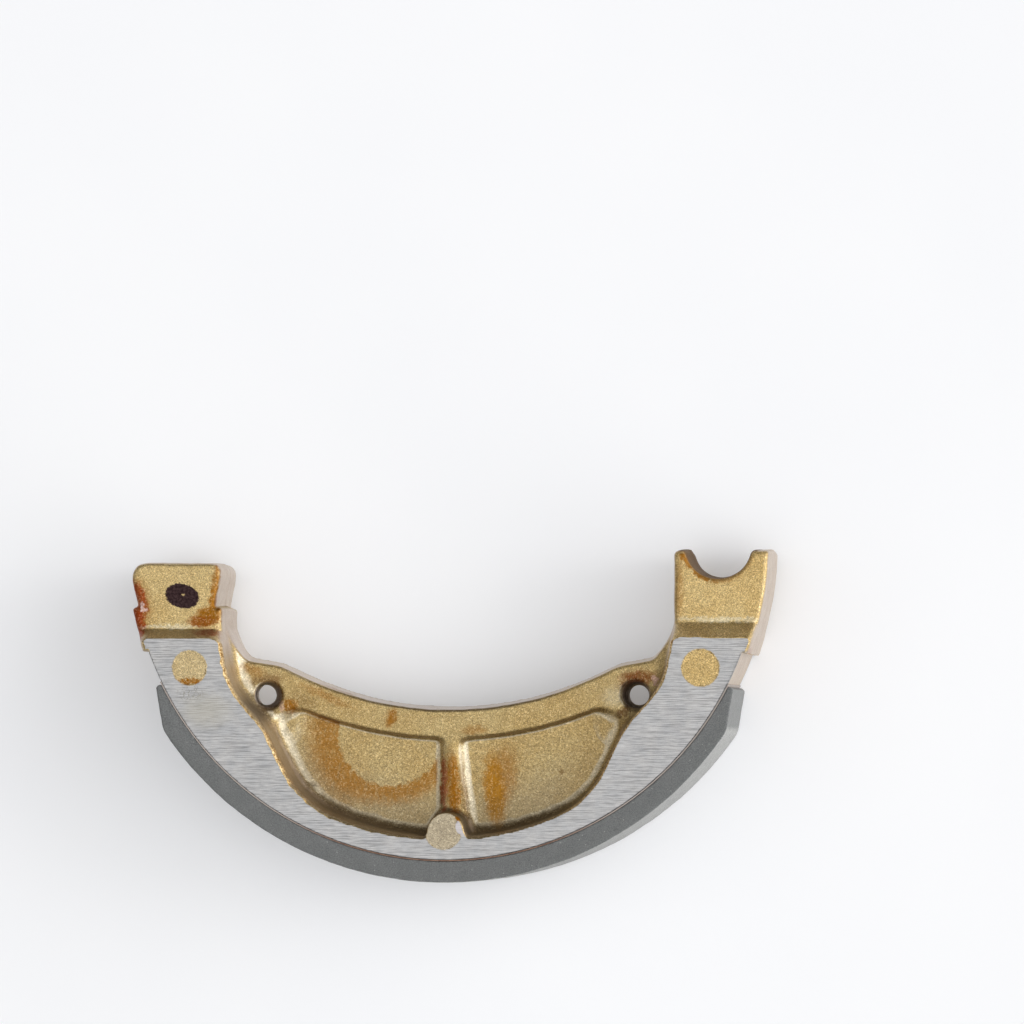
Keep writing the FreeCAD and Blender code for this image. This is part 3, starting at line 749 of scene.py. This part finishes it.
def greyer_marks(m, gold, fine):
    """Ejector marks are greyer than the skin around them, the one on the boss most."""
    flat_mark = m.product(m.fade(m.rise, 9.6, 9.8), m.fade(m.level, 0.9, 0.98))
    on_boss = m.blob(m.place, (BOSS[0], BOSS[1], TOP), (3, 3, 3), 0, 0.1)
    grey = m.largest(m.fade(m.x, -5.0, 5.0, 0.3, 0.0), on_boss)
    tone = m.shaded(MARK_GREY, m.fade(fine, 0.25, 0.75, 0.8, 1.2))
    return m.mix(m.product(flat_mark, grey, 0.8), gold, tone)


def stains_and_painted_light(m, gold, ragged):
    """Stains with painted shade and highlights among them, and the tide mark in the toe's pocket:
    sharp on its inner side, fading outwards.
    """
    streaks = m.fade(m.noise(1.0, 3.0, 0.6, m.stretched((2.4, 0.7, 1.0))), 0.28, 0.52, 0.55, 1.0)
    speckled = m.product(streaks, m.fade(m.noise(3.2, 2.0, 0.6), 0.3, 0.55, 0.82, 1.0))
    for centre, size, turn, soft, colour, strength in STAINS_AND_PAINTED_LIGHT:
        share = m.product(m.blob(ragged, centre, size, turn, soft), speckled, strength)
        gold = m.mix(share, gold, colour)
    reach = m.flat_length(m.vector("SUBTRACT", ragged, TIDE_CENTRE))
    wet = m.fade(m.x, -16.0, -9.0, 9.0, 8.0)
    dry = m.fade(m.x, -16.0, -9.0, 12.6, 10.3)
    tide = m.product(
        m.fade(reach, TIDE_RADIUS - 0.2, TIDE_RADIUS + 0.3),
        m.fade(reach, wet, dry, 1.0, 0.0),
        m.fade(m.z, 13.2, 13.7, 1.0, 0.0),
        m.fade(m.z, 12.0, 12.8),
        m.fade(m.x, -1.9, -1.3, 1.0, 0.0),
        m.fade(m.y, -24.0, -22.0, 1.0, 0.7),
        speckled,
        0.85,
    )
    return m.mix(tide, gold, TIDE_BROWN)


def sparkling(m, gold, grain, upright):
    """Bright grains as painted glints and dark grains, calmer on upright walls."""
    calm = m.rest(m.product(upright, 0.7))
    glint = m.product(m.math("GREATER_THAN", grain, 0.86), 0.26)
    pit = m.product(m.math("LESS_THAN", grain, 0.22), 0.22)
    glitter = m.product(m.math("SUBTRACT", glint, pit), calm)
    gold = m.shaded(gold, m.math("ADD", glitter, 1.0))
    return m.mix(m.product(glint, calm, 0.35), gold, GLINT)


def raw_edges(m, gold):
    """Raw yellow metal along the machined edges, with painted glints, strongest at the sides of the
    shoe.
    """
    right_rim = m.product(m.fade(m.x, 12.0, 20.0), m.fade(m.y, -20.0, -17.0, 1.0, 0.0))
    edge = m.product(
        m.fade(m.rise, 9.15, 9.5),
        m.fade(m.noise(1.1, 3.0), 0.3, 0.6, 0.4, 1.0),
        m.fade(m.level, 0.8, 0.97, 1.0, 0.0),
        m.fade(m.from_middle, 12.0, 22.0, 0.12, 1.0),
        m.fade(m.radius, 41.3, 41.6, 1.0, 0.0),
        m.largest(m.fade(m.normal[1], 0.25, 0.6, 1.0, 0.25), right_rim),
    )
    # The lighter tone of the raw edge is a painted glint.
    tone = m.mix(m.fade(m.noise(3.4, 2.0, 0.6), 0.38, 0.62), RAW_DARK, RAW_GLINT)
    return m.mix(edge, gold, tone)


def ink_dot(m):
    """Share of ink on the toe foot, with a bare speck in its centre."""
    place = m.wandering(3.4, 0.62)
    dot = m.blob(place, (-35.14, -7.05, 18), (2.3, 1.62, 0.8), -14, 0.05)
    speck = m.blob(place, (-35.0, -6.95, 18), (0.24, 0.16, 0.8), 0, 0.3)
    return m.product(dot, m.rest(m.product(speck, 0.8)))


def machined_metal(m, fine, lines, ragged):
    """Cool grey with fine scratches along X, and a little dirt below the toe's ejector mark."""
    cross = m.noise(1.0, 1.0, 0.6, m.stretched((0.7, 10.0, 1.0), -0.04))
    scores = m.noise(1.0, 1.0, 0.5, m.stretched((0.2, 3.6, 1.0), -0.03))
    patches = m.fade(m.noise(0.5, 4.0, 0.65), 0.3, 0.7)
    silver = m.mix(patches, SILVER_COOL, SILVER_WARM)
    silver = m.shaded(silver, m.fade(lines, 0.34, 0.58, 0.68, 1.09))
    silver = m.shaded(silver, m.fade(cross, 0.28, 0.62, 0.8, 1.1))
    silver = m.shaded(silver, m.fade(fine, 0.3, 0.7, 0.94, 1.06))
    silver = m.shaded(silver, m.fade(scores, 0.27, 0.34, 0.84, 1.0))
    grain, _ = m.cells(5.0)
    peppered = m.blob(ragged, (-33.6, -20.0, 20), (1.6, 1.1, 3), 0, 0.4)
    pepper = m.product(m.math("LESS_THAN", grain, 0.22), peppered, 0.7)
    silver = m.mix(pepper, silver, PEPPER)
    dirt = m.product(m.blob(ragged, (-31.6, -22.2, 20), (2.8, 1.9, 3), 0, 0.7), 0.35)
    return m.mix(dirt, silver, DIRT)


def casting_material():
    m = Shade("cast_and_machined_aluminium")
    upright = m.fade(m.level, 0.3, 0.75, 1.0, 0.0)
    grain, _ = m.cells(6.5)
    fine = m.noise(6.5, 2.0, 0.7)
    ragged = m.wandering(1.5, 1.7)
    seat_x, seat_y, _ = ANCHOR_SEAT
    notch = m.blob(m.place, (seat_x, seat_y, MID), (5.65, 5.65, 20), 0, 0.03)

    gold = cast_skin(m, fine)
    gold = cast_walls(m, gold, upright, notch)
    gold = greyer_marks(m, gold, fine)
    gold = stains_and_painted_light(m, gold, ragged)
    gold = sparkling(m, gold, grain, upright)
    seat_lip = m.product(
        m.blob(ragged, (seat_x, seat_y, 18), (5.0, 5.0, 1.2), 0, 0.04),
        m.fade(m.x, 33.5, 39.0, 0.9, 0.3),
        m.rest(upright),
    )
    gold = m.mix(seat_lip, gold, AMBER)
    gold = raw_edges(m, gold)
    ink = ink_dot(m)
    ink_tone = m.mix(m.fade(m.noise(3.0), 0.3, 0.7), INK_DARK, INK_LIGHT)
    gold = m.mix(ink, gold, ink_tone)

    # The side faces and the edge over the bond line are machined, the ejector marks aren't.
    lines = m.noise(1.0, 1.0, 0.5, m.stretched((0.2, 7.5, 1.0), 0.015))
    silver = machined_metal(m, fine, lines, ragged)
    bond_rim = m.product(
        m.fade(m.radius, 41.5, 41.6),
        m.fade(m.rise, 9.6, 9.7),
        m.fade(m.y, -15.0, -14.0, 1.0, 0.0),
    )
    machined = m.largest(m.math("GREATER_THAN", m.rise, 9.985), bond_rim)
    frayed = m.wandering(3.2, 0.35)
    for mark in MARKS:
        mark_x, mark_y, mark_radius = mark
        reach = mark_radius + 0.12
        cast = m.blob(frayed, (mark_x, mark_y, TOP), (reach, reach, 1.0), 0, 0.05)
        if mark is BOSS_MARK:
            worn_x, worn_y, worn_a, worn_b = BOSS_WORN
            worn = m.blob(frayed, (worn_x, worn_y, TOP), (worn_a, worn_b, 1.0), 0, 0.15)
            cast = m.product(cast, m.rest(worn))
            # Worn metal with a painted pink sheen on the worn side of the boss's mark.
            silver = m.mix(m.product(worn, 0.5), silver, WORN_BOSS_SHEEN)
        machined = m.product(machined, m.rest(cast))
    colour = m.mix(machined, gold, silver)
    spot = m.blob(frayed, (1.86, -36.4, TOP), (0.4, 0.3, 1.0), -30, 0.3)
    colour = m.mix(spot, colour, AMBER)

    # The walls of the spring holes and of the anchor seat are dull.
    size = (2.7, 2.7, 3.2)
    holes = m.largest(*[
        m.blob(m.place, (x, SPRING_Y, 12), size, 0, 0.05) for x in (SPRING_X, -SPRING_X)
    ])
    dull = m.product(holes, m.fade(m.level, 0.5, 0.9, 0.85, 0.0))
    dull = m.largest(m.product(notch, upright), dull)
    rough = m.math("ADD", m.fade(fine, 0.25, 0.75, 0.36, 0.56), m.product(ink, 0.1))
    rough = m.mix(machined, rough, m.fade(lines, 0.3, 0.7, 0.3, 0.42))
    rough = m.math("ADD", rough, m.product(dull, 0.3))
    metal = m.math("SUBTRACT", 0.9, m.product(dull, 0.7), clamp=True)
    sand = m.math("ADD", m.product(m.noise(4.2, 3.0, 0.6), 0.6), m.product(grain, 0.25))
    height = m.mix(machined, sand, m.product(lines, 0.2))
    return m.finish(colour, rough, metal, height, 0.08)


def lining_material():
    m = Shade("moulded_friction_material")
    upright = m.fade(m.level, 0.3, 0.7, 1.0, 0.0)
    # Upright faces, the outer one most, are ground and lighter, partly as painted light from the
    # side.
    outer = m.product(upright, m.fade(m.radius, 44.5, 44.8, 0.3, 1.0))
    fine = m.noise(6.5, 3.0, 0.75)
    broad = m.fade(m.noise(0.5, 4.0, 0.6), 0.35, 0.65)
    cloudy = m.fade(m.noise(1.6, 5.0, 0.7), 0.3, 0.7)
    moulded = m.mix(broad, (0.132, 0.138, 0.138, 1), (0.144, 0.149, 0.149, 1))
    ground = m.mix(cloudy, (0.29, 0.292, 0.286, 1), (0.4, 0.402, 0.392, 1))
    grinding = m.noise(1.0, 2.0, 0.6, m.stretched((0.25, 0.25, 5.0)))
    ground = m.shaded(ground, m.fade(grinding, 0.3, 0.6, 0.88, 1.05))
    colour = m.mix(outer, moulded, ground)
    colour = m.shaded(colour, m.fade(fine, 0.34, 0.66, 0.72, 1.28))
    chance, near = m.cells(2.4)
    pale = m.product(m.math("GREATER_THAN", chance, 0.93), m.math("LESS_THAN", near, 0.2), 0.4)
    colour = m.mix(pale, colour, (0.45, 0.45, 0.43, 1))
    chance, near = m.cells(1.7)
    dark = m.product(m.math("LESS_THAN", chance, 0.12), m.math("LESS_THAN", near, 0.22), 0.5)
    colour = m.mix(dark, colour, (0.09, 0.09, 0.09, 1))
    return m.finish(colour, m.fade(fine, 0.3, 0.7, 0.7, 0.85), 0.0, fine, 0.05)


def film_material():
    m = Shade("bonding_adhesive")
    tone = m.fade(m.noise(1.2, 4.0, 0.65), 0.35, 0.65)
    colour = m.mix(tone, (0.13, 0.06, 0.035, 1), (0.26, 0.16, 0.11, 1))
    colour = m.mix(m.fade(m.from_middle, 12.0, 25.0), colour, (0.37, 0.32, 0.29, 1))
    return m.finish(colour, m.fade(tone, 0.0, 1.0, 0.45, 0.65), 0.0, tone, 0.02)


def floor_material():
    m = Shade("pale_paper")
    tone = m.fade(m.noise(0.02, 2.0), 0.3, 0.7)
    colour = m.mix(tone, (0.89, 0.9, 0.925, 1), (0.91, 0.918, 0.938, 1))
    m.finish(colour, 0.9, 0.0, tone, 0.01)

    # What sees the floor directly or in a reflection sees it a little lighter in its shadows.
    path = m.tree.nodes.new("ShaderNodeLightPath").outputs
    seen = m.largest(path["Is Camera Ray"], path["Is Glossy Ray"], path["Is Transmission Ray"])
    glow = m.node("ShaderNodeEmission", {"Color": (0.93, 0.935, 0.965, 1), "Strength": 1.0})
    inputs = {0: m.product(seen, 0.2), 1: m.shader.outputs[0], 2: glow.outputs[0]}
    blend = m.node("ShaderNodeMixShader", inputs)
    m.tree.links.new(blend.outputs[0], m.output.inputs[0])
    return m.material


def build_object():
    """Skins both solid pieces. Levels lie closer at the web, the feet and the side faces."""
    step = 0.2
    xs = np.arange(-43.0, 43.8, step)
    ys = np.arange(-42.9, -0.3, step)
    zs = grid_levels([
        10.35, 10.8, 11.4, 12.0, 12.4, 12.7, 12.9, 13.05, 13.2, 13.4, 13.6, 13.8, 13.95, 14.1, 14.3,
        14.6, 15.0, 15.4, 15.8, 16.2, 16.6, 17.0, 17.3, 17.55, 17.75, 17.9, 18.03, 18.2, 18.5, 18.8,
        19.1, 19.35, 19.55, 19.7, 19.82, 19.94, 20.1,
    ], MID)
    make_piece("shoe_casting_skin", casting_field, (xs, ys, zs), CASTING_TRIANGLES,
               casting_material(), "shoe_casting")
    coarse = 1.4 * step
    xs = np.arange(-45.6, 45.9, coarse)
    ys = np.arange(-45.6, -18.0, coarse)
    even_levels = [10.5 + 0.5 * i for i in range(18)]
    zs = grid_levels(even_levels + [19.2, 19.45, 19.65, 19.82, 19.94, 20.1], MID)
    make_piece("friction_lining_skin", lining_field, (xs, ys, zs), LINING_TRIANGLES,
               lining_material(), "friction_lining")
    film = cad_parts["adhesive_film"]
    for slot in film.material_slots:
        slot.material = film_material()


def build_stage():
    mesh = bpy.data.meshes.new("floor")
    reach = 4.0
    below = -0.02 * METRE
    ways = ((-1, -1), (1, -1), (1, 1), (-1, 1))
    mesh.from_pydata([(x * reach, y * reach, below) for x, y in ways], [], [(0, 1, 2, 3)])
    mesh.materials.append(floor_material())
    floor = bpy.data.objects.new("floor", mesh)
    bpy.context.scene.collection.objects.link(floor)


def build_world():
    """Soft tent: bright overhead and towards +X, dimmer near the horizon elsewhere."""
    world = bpy.data.worlds.new("soft_tent")
    bpy.context.scene.world = world
    world.use_nodes = True
    tent = Nodes(world.node_tree)
    place = tent.tree.nodes.new("ShaderNodeTexCoord").outputs["Generated"]
    towards = tent.node("ShaderNodeSeparateXYZ", {0: place}).outputs
    overhead = tent.fade(towards[2], 0.1, 0.85, 0.0, 1.17)
    band = tent.fade(tent.math("ABSOLUTE", towards[1]), 0.1, 0.75, 1.0, 0.3)
    side = tent.fade(towards[0], 0.45, 0.9, 0.06, 2.5)
    strength = tent.math("ADD", tent.product(overhead, band), side)
    inputs = {"Color": (1.0, 0.995, 0.985, 1), "Strength": strength}
    background = tent.node("ShaderNodeBackground", inputs)
    output = tent.tree.nodes.new("ShaderNodeOutputWorld")
    tent.tree.links.new(background.outputs[0], output.inputs[0])


def add_lamp(name, place, target, size, power):
    data = bpy.data.lights.new(name, "AREA")
    data.shape = "DISK"
    data.size = size
    data.energy = power
    lamp = bpy.data.objects.new(name, data)
    bpy.context.scene.collection.objects.link(lamp)
    lamp.location = place
    lamp.rotation_euler = (Vector(target) - Vector(place)).to_track_quat("-Z", "Y").to_euler()


def add_camera():
    """Long lens, a little to the right of straight above, as the photograph was taken."""
    place = Vector((0.13003, -0.02825, 1.17371))
    target = Vector((0.00687, 0.00447, 0.0))
    ahead = (target - place).normalized()
    right = ahead.cross(Vector((0, 1, 0))).normalized()
    up = right.cross(ahead)
    roll = 0.00107
    right, up = (
        right * math.cos(roll) + up * math.sin(roll),
        up * math.cos(roll) - right * math.sin(roll),
    )
    data = bpy.data.cameras.new("camera")
    data.lens = 309.9
    data.sensor_width = 36.0
    data.clip_end = 20.0
    camera = bpy.data.objects.new("camera", data)
    bpy.context.scene.collection.objects.link(camera)
    rotation = Matrix((right, up, -ahead)).transposed()
    camera.matrix_world = Matrix.Translation(place) @ rotation.to_4x4()
    bpy.context.scene.camera = camera


add_camera()
build_stage()
build_world()
add_lamp("overhead", (0.1, 0.0, 2.2), (0, -0.02, 0), 1.6, 3.6)
add_lamp("side", (1.3, 0.15, 0.75), (0, -0.02, 0.01), 0.5, 2.2)
build_object()
bpy.context.scene.view_settings.view_transform = "Standard"
